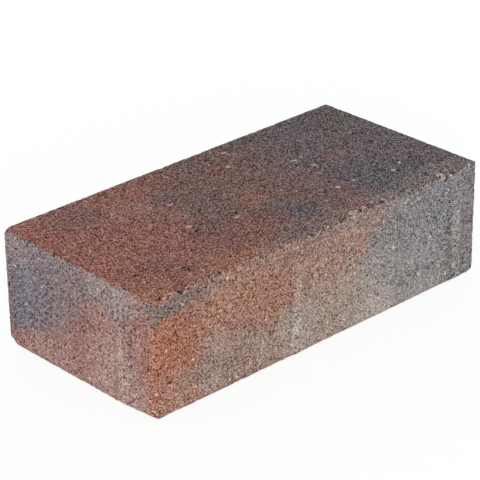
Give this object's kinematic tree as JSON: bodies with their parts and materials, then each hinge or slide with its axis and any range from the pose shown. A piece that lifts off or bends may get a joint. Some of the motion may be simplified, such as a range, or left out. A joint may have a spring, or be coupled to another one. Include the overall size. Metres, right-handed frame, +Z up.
{
  "type": "concrete paving stone",
  "caption": "Rectangular cast concrete paving stone with square edges and low spacer ribs on its sides, laid flat on a sand bed.",
  "frame": {"origin": "centre of the bed face, on the surface that the stone lies on", "axes": "+X along the length, +Y across the width, +Z up to the wearing face"},
  "size_m": [0.202, 0.1, 0.057],
  "materials": {
    "concrete": "rough, granular dry-cast concrete, blended red, tan and charcoal through the mix"
  },
  "bodies": {
    "root": {"paving_stone": "concrete"}
  },
  "joints": []
}
